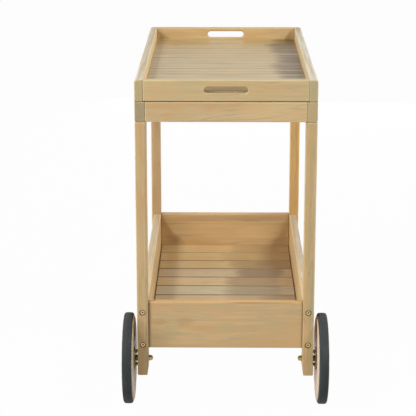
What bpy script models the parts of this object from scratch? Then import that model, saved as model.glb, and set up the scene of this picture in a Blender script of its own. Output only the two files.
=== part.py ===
"""Rolling bar cart: a slatted lower box and a lift-off tray on four legs, with two wheels.

Metres, +Z up. The origin is on the floor, under the middle of the cart's outline.
The wheels are at the -Y end. X runs across the cart.
"""

import math

import bmesh
import bpy
from mathutils import Matrix, Vector

# Whole cart
cart_width = 0.460
cart_length = 0.890
shoulder_height = 0.755         # floor to the underside of the top frame
seat_gap = 0.0003               # between pieces that touch
overrun = 0.001                 # how far a cutter reaches past the face it cuts
weld_distance = 0.00001

# Legs
leg_width = 0.029
leg_depth = 0.032
leg_edge = 0.0022
front_leg_lift = 0.076          # floor to the end of a front leg
foot_taper_height = 0.024
foot_taper_depth = 0.0035
leg_tenon_width = 0.012
leg_tenon_depth = 0.016
leg_tenon_height = 0.024

# Top frame
frame_height = 0.0510
frame_side_thickness = 0.026
frame_end_thickness = 0.022
frame_edge = 0.0020
frame_lower_round = 0.0055      # outer lower edge of a side rail
frame_tenon_length = 0.008
frame_tenon_thickness = 0.010
frame_tenon_height = 0.014
frame_tenon_drop = 0.006        # rail top to the top of its tenon

# Lower box
box_underside = 0.151           # floor to the lower edge of an end panel
box_height = 0.126
box_board_thickness = 0.022
box_edge = 0.0025
side_board_inset = 0.007        # leg's outer face to the side board's
side_board_drop = 0.008         # how far a side board reaches below the panels
end_panel_inset = 0.006         # leg's outer face to the end panel's
panel_tenon_length = 0.006
panel_tenon_thickness = 0.010
panel_tenon_height = 0.040

# Shelf in the lower box
shelf_slat_count = 10
shelf_slat_thickness = 0.010
shelf_slat_edge = 0.0008
shelf_slat_gap = 0.0042
shelf_front_space = 0.0140
shelf_rear_space = 0.0020
shelf_side_space = 0.0028
shelf_batten_width = 0.020
shelf_batten_height = 0.022
batten_edge = 0.0015

# Tray
tray_height = 0.0560
tray_side_thickness = 0.021
tray_end_thickness = 0.019
tray_end_lift = 0.0018          # a tray end stands clear of the frame by this more
tray_edge = 0.0022
tray_top_round = 0.0075         # outer top edge of a side rail
tray_tenon_length = 0.007
tray_tenon_thickness = 0.009
tray_tenon_height = 0.024
tray_floor_depth = 0.0345       # rim to the floor
tray_slat_count = 10
tray_slat_thickness = 0.009
tray_slat_edge = 0.0008
tray_slat_gap = 0.0020
tray_batten_width = 0.018
tray_batten_drop = 0.018        # how far a tray batten reaches into the frame
tray_play = 0.0010              # between a tray batten and the frame
slot_length = 0.110
front_slot_height = 0.0170
front_slot_drop = 0.0266        # rim to the middle of the slot
rear_slot_height = 0.0200
rear_slot_drop = 0.0204
slot_edge = 0.0022

# Frame bolts, with the barrel nuts that they screw into
bolt_radius = 0.0030
bolt_length = 0.055
bolt_head_radius = 0.0064
bolt_head_height = 0.0055
bolt_head_edge = 0.0008
bolt_head_recess = 0.0022       # leg's face to the top of the head
bolt_socket_width = 0.0040
bolt_socket_depth = 0.0030
counterbore_radius = 0.0082
upper_bolt_drop = 0.0275        # top edge of the box to the upper bolts
lower_bolt_rise = 0.0175        # lower edge of a side board to the lower bolts
barrel_nut_radius = 0.0048
barrel_nut_length = 0.014
barrel_nut_setback = 0.009      # end of the bolt to the middle of its nut

# Wheels
wheel_radius = 0.1195
wheel_standoff = 0.0085         # leg's outer face to the wooden disc
disc_thickness = 0.0275
disc_edge = 0.0025
tyre_width = 0.024
tyre_thickness = 0.009
tyre_shoulder = 0.0055
tyre_inner_lip = 0.0025         # width of the disc's rim on the leg's side of the tyre
tyre_seat_depth = 0.0015        # depth of the groove that holds the tyre
hub_flange_radius = 0.031
hub_flange_thickness = 0.0025
hub_flange_edge = 0.0006
hub_sleeve_radius = 0.0095
hub_bolt_circle = 0.024
hub_bolt_radius = 0.0025
hub_bolt_turn = math.radians(28.5)
hub_nut_width = 0.0080
hub_nut_height = 0.0038
hub_head_radius = 0.0048
hub_head_height = 0.0026

# Axle bolts
axle_radius = 0.0040
axle_head_radius = 0.0070
axle_head_height = 0.0035
axle_nut_width = 0.013
axle_nut_height = 0.0058
axle_collar_radius = 0.0060     # locking collar at the end of the nut
axle_collar_height = 0.0020
axle_collar_edge = 0.0010
axle_washer_radius = 0.0085
axle_washer_thickness = 0.0013
axle_end = 0.0016               # thread that shows past the nut
spacer_radius = 0.0080

# Facets
bore_steps = 12
round_steps = 16
slot_steps = 10
hub_steps = 20
wheel_steps = 44
edge_steps = 2
large_edge_steps = 4
shoulder_steps = 3
hexagon_steps = 6
sharp_angle = math.radians(35)

# Places that follow from the sizes above
half_width = cart_width / 2
axle_setback = leg_depth / 2
wheel_reach = wheel_radius - axle_setback
front_face = (wheel_reach - cart_length) / 2
back_face = front_face + cart_length
leg_inner = half_width - leg_width
leg_middle = half_width - leg_width / 2
frame_top = shoulder_height + seat_gap + frame_height
frame_side_inner = half_width - frame_side_thickness
tray_underside = frame_top + seat_gap
tray_rim = tray_underside + tray_height
tray_side_inner = half_width - tray_side_thickness
tray_floor = tray_rim - tray_floor_depth
box_top = box_underside + box_height
side_board_outer = half_width - side_board_inset
side_board_inner = side_board_outer - box_board_thickness
side_board_underside = box_underside - side_board_drop
shelf_batten_top = side_board_underside + shelf_batten_height
shelf_floor = shelf_batten_top + seat_gap + shelf_slat_thickness
upper_bolt_height = box_top - upper_bolt_drop
lower_bolt_height = side_board_underside + lower_bolt_rise

# Colours, as linear red, green and blue
honey_wood = (0.56, 0.39, 0.20)
pale_wood = (0.60, 0.45, 0.26)
grey_wood = (0.47, 0.39, 0.27)
black_rubber = (0.035, 0.038, 0.042)
yellow_zinc = (0.55, 0.47, 0.30)
dark_steel = (0.14, 0.13, 0.12)


def clear_scene():
    for thing in list(bpy.data.objects):
        bpy.data.objects.remove(thing, do_unlink=True)


def finish(name, colour, roughness, metallic=0.0):
    """A plain material for one sub-part."""
    material = bpy.data.materials.new(name + "_finish")
    material.use_nodes = True
    shader = material.node_tree.nodes["Principled BSDF"]
    shader.inputs["Base Color"].default_value = (*colour, 1.0)
    shader.inputs["Roughness"].default_value = roughness
    shader.inputs["Metallic"].default_value = metallic
    return material


def wood(name, colour=honey_wood):
    return finish(name, colour, roughness=0.55)


def metal(name, colour=yellow_zinc):
    return finish(name, colour, roughness=0.35, metallic=0.9)


def empty(name, location=(0, 0, 0)):
    """A body that pieces are parented to, on its joint's axis."""
    body = bpy.data.objects.new(name, None)
    body.location = location
    bpy.context.scene.collection.objects.link(body)
    return body


def place(name, mesh, body=None, material=None):
    """Links a mesh as a piece of the cart, carried by a body."""
    piece = bpy.data.objects.new(name, mesh)
    bpy.context.scene.collection.objects.link(piece)
    piece.parent = body
    if material is not None:
        mesh.materials.clear()
        mesh.materials.append(material)
    return piece


def mesh_from(work):
    """Closes a bmesh into a mesh, welded and with its faces pointing out."""
    bmesh.ops.remove_doubles(work, verts=work.verts, dist=weld_distance)
    bmesh.ops.recalc_face_normals(work, faces=work.faces)
    mesh = bpy.data.meshes.new("shape")
    work.to_mesh(mesh)
    work.free()
    return mesh


def ease(work, edge, steps):
    """Rounds over every edge of a solid."""
    bmesh.ops.bevel(
        work, geom=work.edges, offset=edge, segments=steps, profile=0.5,
        affect="EDGES", clamp_overlap=True,
    )


def block(low, high, edge=0.0, steps=edge_steps):
    """A box between two corners, with its edges rounded over."""
    low, high = Vector(low), Vector(high)
    work = bmesh.new()
    bmesh.ops.create_cube(work, size=1)
    bmesh.ops.scale(work, verts=work.verts, vec=high - low)
    bmesh.ops.translate(work, verts=work.verts, vec=(low + high) / 2)
    if edge:
        ease(work, edge, steps)
    return mesh_from(work)


def rounded_loop(low, high, radii, inset):
    """Corners of a bar's cross section, in turn round the bar, each with its own radius."""
    corners = (
        (low[0], low[1], 1, 1, math.pi),
        (high[0], low[1], -1, 1, -math.pi / 2),
        (high[0], high[1], -1, -1, 0.0),
        (low[0], high[1], 1, -1, math.pi / 2),
    )
    points = []
    for (x, z, inwards_x, inwards_z, start), radius in zip(corners, radii):
        steps = large_edge_steps if radius == max(radii) else edge_steps
        middle = (x + inwards_x * radius, z + inwards_z * radius)
        points += arc(middle, radius - inset, start, start + math.pi / 2, steps)
    return points


def bar(low, high, radii, edge):
    """A rail along Y whose four long edges have their own radii, with its ends eased."""
    eighth_turn = math.pi / 4
    eased = edge * (1 - math.sin(eighth_turn))
    stations = (
        (low[1], edge),
        (low[1] + eased, eased),
        (low[1] + edge, 0.0),
        (high[1] - edge, 0.0),
        (high[1] - eased, eased),
        (high[1], edge),
    )
    work = bmesh.new()
    loops = [
        [
            work.verts.new((x, y, z))
            for x, z in rounded_loop((low[0], low[2]), (high[0], high[2]), radii, inset)
        ]
        for y, inset in stations
    ]
    for near, far in zip(loops, loops[1:]):
        for i in range(len(near)):
            j = (i + 1) % len(near)
            work.faces.new((near[i], near[j], far[j], far[i]))
    work.faces.new(loops[0])
    work.faces.new(loops[-1])
    return mesh_from(work)


def along(axis):
    """The turn that lays a shape made along +Z along +X or +Y."""
    if axis == "X":
        return Matrix.Rotation(math.pi / 2, 4, "Y")
    if axis == "Y":
        return Matrix.Rotation(-math.pi / 2, 4, "X")
    return Matrix.Identity(4)


def rod(radius, start, end, axis, steps=bore_steps):
    """A round or many-sided bar from start to end, two points on a line along axis."""
    start, end = Vector(start), Vector(end)
    work = bmesh.new()
    bmesh.ops.create_cone(
        work, cap_ends=True, segments=steps, radius1=radius, radius2=radius,
        depth=(end - start).length,
    )
    bmesh.ops.transform(work, verts=work.verts, matrix=along(axis))
    bmesh.ops.translate(work, verts=work.verts, vec=(start + end) / 2)
    return mesh_from(work)


def hexagon_radius(width_across_flats):
    return width_across_flats / math.sqrt(3)


def turned(outline, steps, closed):
    """Spins an outline of (place along X, radius) points round the X axis."""
    work = bmesh.new()
    points = [work.verts.new((x, 0, radius)) for x, radius in outline]
    pairs = list(zip(points, points[1:]))
    if closed:
        pairs.append((points[-1], points[0]))
    lines = [work.edges.new(pair) for pair in pairs]
    bmesh.ops.spin(
        work, geom=points + lines, axis=(1, 0, 0), cent=(0, 0, 0),
        steps=steps, angle=math.tau, use_merge=True, use_duplicate=False,
    )
    return mesh_from(work)


def arc(middle, radius, first_angle, last_angle, steps):
    """Points on part of a circle, for an outline."""
    return [
        (
            middle[0] + radius * math.cos(first_angle + (last_angle - first_angle) * i / steps),
            middle[1] + radius * math.sin(first_angle + (last_angle - first_angle) * i / steps),
        )
        for i in range(steps + 1)
    ]


def combine(piece, tool_meshes, operation):
    """Cuts shapes out of a piece, or joins them on, with Boolean modifiers."""
    tools = [place("tool", mesh, piece.parent) for mesh in tool_meshes]
    for tool in tools:
        tool.hide_render = True
        tool.display_type = "WIRE"
        step = piece.modifiers.new(operation.lower(), "BOOLEAN")
        step.operation = operation
        step.solver = "EXACT"
        step.object = tool
    bpy.context.view_layer.update()
    finished = bpy.data.meshes.new_from_object(
        piece.evaluated_get(bpy.context.evaluated_depsgraph_get())
    )
    piece.modifiers.clear()
    piece.data = finished
    for tool in tools:
        bpy.data.objects.remove(tool, do_unlink=True)
    return piece


def cut(piece, *tool_meshes):
    return combine(piece, tool_meshes, "DIFFERENCE")


def join(piece, *tool_meshes):
    return combine(piece, tool_meshes, "UNION")


def shade(piece):
    """Smooth shading on round faces, with crisp edges kept."""
    piece.data.shade_smooth()
    piece.data.set_sharp_from_angle(angle=sharp_angle)


def grown(low, high, space):
    """The box that leaves a space all round another."""
    return block(
        [a - space for a in low],
        [b + space for b in high],
    )


def sides():
    """The left and the right side of the cart, as a name and a sign."""
    return (("left", -1), ("right", 1))


def ends():
    """The wheel end and the far end, as a name, a sign and the outer face."""
    return (("front", -1, front_face), ("rear", 1, back_face))


def span(first, second):
    return min(first, second), max(first, second)


def leg_tenon_box(side, end_sign, outer_face):
    """Low and high corner of a leg's tenon, from inside the leg to its tip."""
    middle_x = side * leg_middle
    middle_y = outer_face - end_sign * leg_depth / 2
    low = (
        middle_x - leg_tenon_width / 2,
        middle_y - leg_tenon_depth / 2,
        shoulder_height - leg_tenon_height,
    )
    high = (
        middle_x + leg_tenon_width / 2,
        middle_y + leg_tenon_depth / 2,
        shoulder_height + leg_tenon_height,
    )
    return low, high


def panel_tenon_box(side, end_sign, outer_face):
    """Low and high corner of an end panel's tenon, from inside the panel to its tip."""
    low_x, high_x = span(
        side * (leg_inner - panel_tenon_length), side * (leg_inner + panel_tenon_length)
    )
    middle_y = outer_face - end_sign * (end_panel_inset + box_board_thickness / 2)
    middle_z = (upper_bolt_height + lower_bolt_height) / 2
    low = (low_x, middle_y - panel_tenon_thickness / 2, middle_z - panel_tenon_height / 2)
    high = (high_x, middle_y + panel_tenon_thickness / 2, middle_z + panel_tenon_height / 2)
    return low, high


def frame_tenon_box(side, end_sign, outer_face):
    """Low and high corner of an end rail's tenon, from inside the rail to its tip."""
    low_x, high_x = span(
        side * (frame_side_inner - frame_tenon_length),
        side * (frame_side_inner + frame_tenon_length),
    )
    middle_y = outer_face - end_sign * frame_end_thickness / 2
    top = frame_top - frame_tenon_drop
    low = (low_x, middle_y - frame_tenon_thickness / 2, top - frame_tenon_height)
    high = (high_x, middle_y + frame_tenon_thickness / 2, top)
    return low, high


def tray_tenon_box(side, end_sign, outer_face):
    """Low and high corner of a tray end's tenon, from inside the panel to its tip."""
    low_x, high_x = span(
        side * (tray_side_inner - tray_tenon_length),
        side * (tray_side_inner + tray_tenon_length),
    )
    middle_y = outer_face - end_sign * tray_end_thickness / 2
    middle_z = tray_underside + tray_height / 2
    low = (low_x, middle_y - tray_tenon_thickness / 2, middle_z - tray_tenon_height / 2)
    high = (high_x, middle_y + tray_tenon_thickness / 2, middle_z + tray_tenon_height / 2)
    return low, high


def bolt_heights():
    return (("upper", upper_bolt_height), ("lower", lower_bolt_height))


def bolt_bores(side, end_sign, outer_face):
    """Counterbores and clearance holes for the two frame bolts of one corner."""
    bores = []
    for _, height in bolt_heights():
        mouth = Vector((side * leg_middle, outer_face + end_sign * overrun, height))
        seat = Vector((side * leg_middle, outer_face, height))
        seat.y -= end_sign * (bolt_head_recess + bolt_head_height + seat_gap)
        end = Vector((side * leg_middle, outer_face, height))
        end.y -= end_sign * (bolt_head_recess + bolt_head_height + bolt_length + overrun)
        bores.append(rod(counterbore_radius, mouth, seat, "Y", round_steps))
        bores.append(rod(bolt_radius + seat_gap, mouth, end, "Y"))
    return bores


def barrel_nut_middle(side, end_sign, outer_face, height):
    reach = bolt_head_recess + bolt_head_height + bolt_length - barrel_nut_setback
    return Vector((side * leg_middle, outer_face - end_sign * reach, height))


def barrel_nut_ends(side, end_sign, outer_face, height):
    """The two ends of a barrel nut, which sits in a hole from inside the box."""
    middle = barrel_nut_middle(side, end_sign, outer_face, height)
    near = Vector((side * (side_board_inner + seat_gap), middle.y, height))
    far = Vector((near.x + side * barrel_nut_length, middle.y, height))
    return near, far


def make_legs(cart):
    for end, end_sign, outer_face in ends():
        inner_face = outer_face - end_sign * leg_depth
        low_y, high_y = span(outer_face, inner_face)
        for side_name, side in sides():
            low_x, high_x = span(side * leg_inner, side * half_width)
            name = f"{end}_{side_name}_leg"
            if end == "front":
                shape = front_leg(side)
            else:
                shape = block((low_x, low_y, 0), (high_x, high_y, shoulder_height), leg_edge)
            leg = place(name, shape, cart, wood(name))
            join(leg, block(*leg_tenon_box(side, end_sign, outer_face)))
            cutters = bolt_bores(side, end_sign, outer_face)
            cutters.append(grown(*panel_tenon_box(side, end_sign, outer_face), seat_gap))
            if end == "front":
                cutters.append(rod(
                    axle_radius + seat_gap,
                    (side * (leg_inner - overrun), outer_face + axle_setback, wheel_radius),
                    (side * (half_width + overrun), outer_face + axle_setback, wheel_radius),
                    "X",
                ))
            cut(leg, *cutters)
            shade(leg)


def front_leg(side):
    """A front leg without its tenon, its inner side tapered towards the foot."""
    inner, outer = side * leg_inner, side * half_width
    corners = (
        (inner + side * foot_taper_depth, front_leg_lift),
        (inner, front_leg_lift + foot_taper_height),
        (inner, shoulder_height),
        (outer, shoulder_height),
        (outer, front_leg_lift),
    )
    work = bmesh.new()
    face = work.faces.new([work.verts.new((x, front_face, z)) for x, z in corners])
    pushed = bmesh.ops.extrude_face_region(work, geom=[face])
    moved = [v for v in pushed["geom"] if isinstance(v, bmesh.types.BMVert)]
    bmesh.ops.translate(work, verts=moved, vec=(0, leg_depth, 0))
    bmesh.ops.recalc_face_normals(work, faces=work.faces)
    ease(work, leg_edge, edge_steps)
    return mesh_from(work)


def side_rail_radii(side, inner, outer_low, outer_high):
    """Edge radii of a side rail: low left, low right, high right, high left."""
    if side > 0:
        return inner, outer_low, outer_high, inner
    return outer_low, inner, inner, outer_high


def make_frame(cart):
    """The top frame: side rails over the legs, end rails between them."""
    low_z, high_z = shoulder_height + seat_gap, frame_top
    for side_name, side in sides():
        low_x, high_x = span(side * frame_side_inner, side * half_width)
        name = f"frame_{side_name}_rail"
        rail = place(
            name,
            bar(
                (low_x, front_face, low_z), (high_x, back_face, high_z),
                side_rail_radii(side, frame_edge, frame_lower_round, frame_edge), frame_edge,
            ),
            cart, wood(name),
        )
        mortises = []
        for _, end_sign, outer_face in ends():
            mortises.append(grown(*leg_tenon_box(side, end_sign, outer_face), seat_gap))
            mortises.append(grown(*frame_tenon_box(side, end_sign, outer_face), seat_gap))
        cut(rail, *mortises)
        shade(rail)
    inner = frame_side_inner - seat_gap
    for end, end_sign, outer_face in ends():
        low_y, high_y = span(outer_face, outer_face - end_sign * frame_end_thickness)
        name = f"frame_{end}_rail"
        rail = place(
            name,
            block((-inner, low_y, low_z), (inner, high_y, high_z), frame_edge),
            cart, wood(name, pale_wood),
        )
        join(rail, *[block(*frame_tenon_box(side, end_sign, outer_face)) for _, side in sides()])
        shade(rail)


def make_box(cart):
    """The lower box: side boards and end panels, all between the legs."""
    for side_name, side in sides():
        low_x, high_x = span(side * side_board_inner, side * side_board_outer)
        name = f"box_{side_name}_board"
        board = place(
            name,
            block(
                (low_x, front_face + leg_depth + seat_gap, side_board_underside),
                (high_x, back_face - leg_depth - seat_gap, box_top),
                box_edge,
            ),
            cart, wood(name),
        )
        bores = []
        for _, end_sign, outer_face in ends():
            bores += bolt_bores(side, end_sign, outer_face)[1::2]
            for _, height in bolt_heights():
                near, far = barrel_nut_ends(side, end_sign, outer_face, height)
                near.x -= side * (seat_gap + overrun)
                far.x += side * seat_gap
                bores.append(rod(barrel_nut_radius + seat_gap, near, far, "X"))
        cut(board, *bores)
        shade(board)
    inner = leg_inner - seat_gap
    for end, end_sign, outer_face in ends():
        first = outer_face - end_sign * end_panel_inset
        low_y, high_y = span(first, first - end_sign * box_board_thickness)
        name = f"box_{end}_panel"
        panel = place(
            name,
            block((-inner, low_y, box_underside), (inner, high_y, box_top), box_edge),
            cart, wood(name),
        )
        join(panel, *[block(*panel_tenon_box(side, end_sign, outer_face)) for _, side in sides()])
        shade(panel)


def make_slats(prefix, count, room, half_length, top, thickness, gap, edge, body, colour):
    """Slats across the cart, spread evenly over a room along Y."""
    low_y, high_y = room
    width = (high_y - low_y - (count - 1) * gap) / count
    for i in range(count):
        start = low_y + i * (width + gap)
        name = f"{prefix}_{i + 1:02d}"
        slat = place(
            name,
            block(
                (-half_length, start, top - thickness),
                (half_length, start + width, top),
                edge, steps=1,
            ),
            body, wood(name, colour),
        )
        shade(slat)


def make_shelf(cart):
    panel_inner = end_panel_inset + box_board_thickness
    make_slats(
        "shelf_slat", shelf_slat_count,
        (front_face + panel_inner + shelf_front_space, back_face - panel_inner - shelf_rear_space),
        side_board_inner - shelf_side_space, shelf_floor, shelf_slat_thickness,
        shelf_slat_gap, shelf_slat_edge, cart, honey_wood,
    )
    first = front_face + panel_inner + seat_gap
    last = back_face - panel_inner - seat_gap
    for side_name, side in sides():
        outer = side_board_inner - seat_gap
        low_x, high_x = span(side * (outer - shelf_batten_width), side * outer)
        name = f"shelf_{side_name}_batten"
        batten = place(
            name,
            block((low_x, first, side_board_underside), (high_x, last, shelf_batten_top),
                  batten_edge, steps=1),
            cart, wood(name),
        )
        shade(batten)


def slot_cutter(outer_face, end_sign):
    """A rounded slot with its rims eased, through a tray end."""
    first = outer_face + end_sign * overrun
    last = outer_face - end_sign * (tray_end_thickness + overrun)
    front = end_sign < 0
    half = (front_slot_height if front else rear_slot_height) / 2
    straight = slot_length / 2 - half
    middle_z = tray_rim - (front_slot_drop if front else rear_slot_drop)
    flare = slot_edge + overrun
    stations = (
        (first, flare),
        (outer_face - end_sign * slot_edge, 0.0),
        (outer_face - end_sign * (tray_end_thickness - slot_edge), 0.0),
        (last, flare),
    )
    work = bmesh.new()
    loops = []
    for y, extra in stations:
        right = arc((straight, 0), half + extra, -math.pi / 2, math.pi / 2, slot_steps)
        left = arc((-straight, 0), half + extra, math.pi / 2, 3 * math.pi / 2, slot_steps)
        loops.append([work.verts.new((x, y, middle_z + z)) for x, z in right + left])
    for near, far in zip(loops, loops[1:]):
        for i in range(len(near)):
            j = (i + 1) % len(near)
            work.faces.new((near[i], near[j], far[j], far[i]))
    work.faces.new(loops[0])
    work.faces.new(loops[-1])
    return mesh_from(work)


def make_tray(tray):
    for side_name, side in sides():
        low_x, high_x = span(side * tray_side_inner, side * half_width)
        name = f"tray_{side_name}_rail"
        rail = place(
            name,
            bar(
                (low_x, front_face, tray_underside), (high_x, back_face, tray_rim),
                side_rail_radii(side, tray_edge, tray_edge, tray_top_round), tray_edge,
            ),
            tray, wood(name, grey_wood if side < 0 else pale_wood),
        )
        cut(rail, *[
            grown(*tray_tenon_box(side, end_sign, outer_face), seat_gap)
            for _, end_sign, outer_face in ends()
        ])
        shade(rail)
    inner = tray_side_inner - seat_gap
    for end, end_sign, outer_face in ends():
        low_y, high_y = span(outer_face, outer_face - end_sign * tray_end_thickness)
        name = f"tray_{end}_panel"
        panel = place(
            name,
            block(
                (-inner, low_y, tray_underside + tray_end_lift),
                (inner, high_y, tray_rim), tray_edge,
            ),
            tray, wood(name),
        )
        join(panel, *[block(*tray_tenon_box(side, end_sign, outer_face)) for _, side in sides()])
        cut(panel, slot_cutter(outer_face, end_sign))
        shade(panel)
    room = (
        front_face + tray_end_thickness + seat_gap,
        back_face - tray_end_thickness - seat_gap,
    )
    make_slats(
        "tray_slat", tray_slat_count, room, inner, tray_floor, tray_slat_thickness,
        tray_slat_gap, tray_slat_edge, tray, grey_wood,
    )
    outer = frame_side_inner - tray_play
    for side_name, side in sides():
        low_x, high_x = span(side * (outer - tray_batten_width), side * outer)
        name = f"tray_{side_name}_batten"
        batten = place(
            name,
            block(
                (low_x, front_face + frame_end_thickness + tray_play,
                 tray_underside - tray_batten_drop),
                (high_x, back_face - frame_end_thickness - tray_play,
                 tray_floor - tray_slat_thickness - seat_gap),
                batten_edge, steps=1,
            ),
            tray, wood(name),
        )
        shade(batten)


def make_frame_bolts(cart):
    """Socket-head bolts through the legs, each with its barrel nut in the side board."""
    for end, end_sign, outer_face in ends():
        for side_name, side in sides():
            for level, height in bolt_heights():
                name = f"frame_bolt_{end}_{side_name}_{level}"
                middle = Vector((side * leg_middle, outer_face, height))
                top = middle - Vector((0, end_sign * bolt_head_recess, 0))
                bolt = place(name, bolt_body(middle, end_sign), cart, metal(name))
                socket_top = top + Vector((0, end_sign * overrun, 0))
                socket_end = top - Vector((0, end_sign * bolt_socket_depth, 0))
                join(bolt, rod(
                    barrel_nut_radius,
                    *barrel_nut_ends(side, end_sign, outer_face, height), "X",
                ))
                cut(bolt, rod(
                    hexagon_radius(bolt_socket_width), socket_top, socket_end, "Y",
                    hexagon_steps,
                ))
                shade(bolt)


def bolt_body(middle, end_sign):
    """Head and shank of a frame bolt, turned in one outline and laid along Y."""
    head = bolt_head_recess
    under = head + bolt_head_height
    tip = under + bolt_length
    outline = (
        (head, 0),
        (head, bolt_head_radius - bolt_head_edge),
        (head + bolt_head_edge, bolt_head_radius),
        (under, bolt_head_radius),
        (under, bolt_radius),
        (tip, bolt_radius),
        (tip, 0),
    )
    mesh = turned(outline, round_steps, closed=False)
    inwards = Matrix.Rotation(-end_sign * math.pi / 2, 4, "Z")
    mesh.transform(Matrix.Translation(middle) @ inwards)
    return mesh


def tyre_outline():
    """Across the tyre, from the wheel's middle plane's own X, with rounded shoulders."""
    inner = wheel_radius - tyre_thickness - tyre_seat_depth
    half = tyre_width / 2
    quarter = math.pi / 2
    shoulder_middle = half - tyre_shoulder, wheel_radius - tyre_shoulder
    right = arc(shoulder_middle, tyre_shoulder, 0, quarter, shoulder_steps)
    left = arc(
        (-shoulder_middle[0], shoulder_middle[1]), tyre_shoulder, quarter, 2 * quarter,
        shoulder_steps,
    )
    return [(half, inner), *right, *left, (-half, inner)]


def disc_outline():
    """Across the wooden disc, with the groove that the tyre sits in and the hub's bore."""
    rim = wheel_radius - tyre_thickness
    groove = rim - tyre_seat_depth - seat_gap
    bore = hub_sleeve_radius + seat_gap
    inner_x = -tyre_width / 2 - tyre_inner_lip
    outer_x = inner_x + disc_thickness
    groove_half = tyre_width / 2 + seat_gap
    outer_lip = outer_x - groove_half
    ease = min(disc_edge, outer_lip)
    return [
        (inner_x, bore),
        (inner_x, rim - disc_edge),
        (inner_x + disc_edge / 3, rim - disc_edge / 3),
        (-groove_half, rim),
        (-groove_half, groove),
        (groove_half, groove),
        (groove_half, rim - disc_edge / 2),
        (outer_x, rim - disc_edge / 2 - ease),
        (outer_x, bore),
    ]


def hub_bolt_places():
    return [
        (
            hub_bolt_circle * math.cos(hub_bolt_turn + i * math.pi / 2),
            hub_bolt_circle * math.sin(hub_bolt_turn + i * math.pi / 2),
        )
        for i in range(4)
    ]


def hub_outline():
    """Sleeve and two flanges, turned in one outline round the axle's bore."""
    inner_x = -tyre_width / 2 - tyre_inner_lip
    outer_x = inner_x + disc_thickness
    inner_flange = inner_x - seat_gap
    outer_flange = outer_x + seat_gap
    first = inner_flange - hub_flange_thickness
    last = outer_flange + hub_flange_thickness
    bore = axle_radius + seat_gap
    return [
        (first, bore),
        (first, hub_flange_radius - hub_flange_edge),
        (first + hub_flange_edge, hub_flange_radius),
        (inner_flange, hub_flange_radius),
        (inner_flange, hub_sleeve_radius),
        (outer_flange, hub_sleeve_radius),
        (outer_flange, hub_flange_radius),
        (last - hub_flange_edge, hub_flange_radius),
        (last, hub_flange_radius - hub_flange_edge),
        (last, bore),
    ]


def make_wheel(side_name, side):
    """One wheel, made for the right side and turned round for the left."""
    tyre_middle = half_width + wheel_standoff + tyre_inner_lip + tyre_width / 2
    body = empty(
        f"{side_name}_wheel_axis",
        (side * tyre_middle, front_face + axle_setback, wheel_radius),
    )
    turn = Matrix.Identity(4) if side > 0 else Matrix.Rotation(math.pi, 4, "Z")

    name = f"{side_name}_tyre"
    tyre = place(
        name, turned(tyre_outline(), wheel_steps, closed=True), body,
        finish(name, black_rubber, roughness=0.8),
    )

    inner_x = -tyre_width / 2 - tyre_inner_lip
    outer_x = inner_x + disc_thickness
    name = f"{side_name}_wheel_disc"
    disc = place(name, turned(disc_outline(), wheel_steps, closed=True), body, wood(name))
    cut(disc, *[
        rod(hub_bolt_radius + seat_gap, (inner_x - overrun, y, z), (outer_x + overrun, y, z), "X")
        for y, z in hub_bolt_places()
    ])

    name = f"{side_name}_hub"
    hub = place(name, turned(hub_outline(), hub_steps, closed=True), body, metal(name))
    flange_in = inner_x - seat_gap - hub_flange_thickness
    flange_out = outer_x + seat_gap + hub_flange_thickness
    fasteners = []
    for y, z in hub_bolt_places():
        fasteners.append(rod(
            hub_bolt_radius, (inner_x - hub_flange_thickness, y, z),
            (outer_x + hub_flange_thickness, y, z), "X",
        ))
        fasteners.append(rod(
            hexagon_radius(hub_nut_width), (flange_in - hub_nut_height, y, z),
            (inner_x - hub_flange_thickness, y, z), "X", hexagon_steps,
        ))
        fasteners.append(rod(
            hub_head_radius, (outer_x + hub_flange_thickness, y, z),
            (flange_out + hub_head_height, y, z), "X",
        ))
    join(hub, *fasteners)

    for piece in (tyre, disc, hub):
        piece.data.transform(turn)
        shade(piece)


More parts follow.
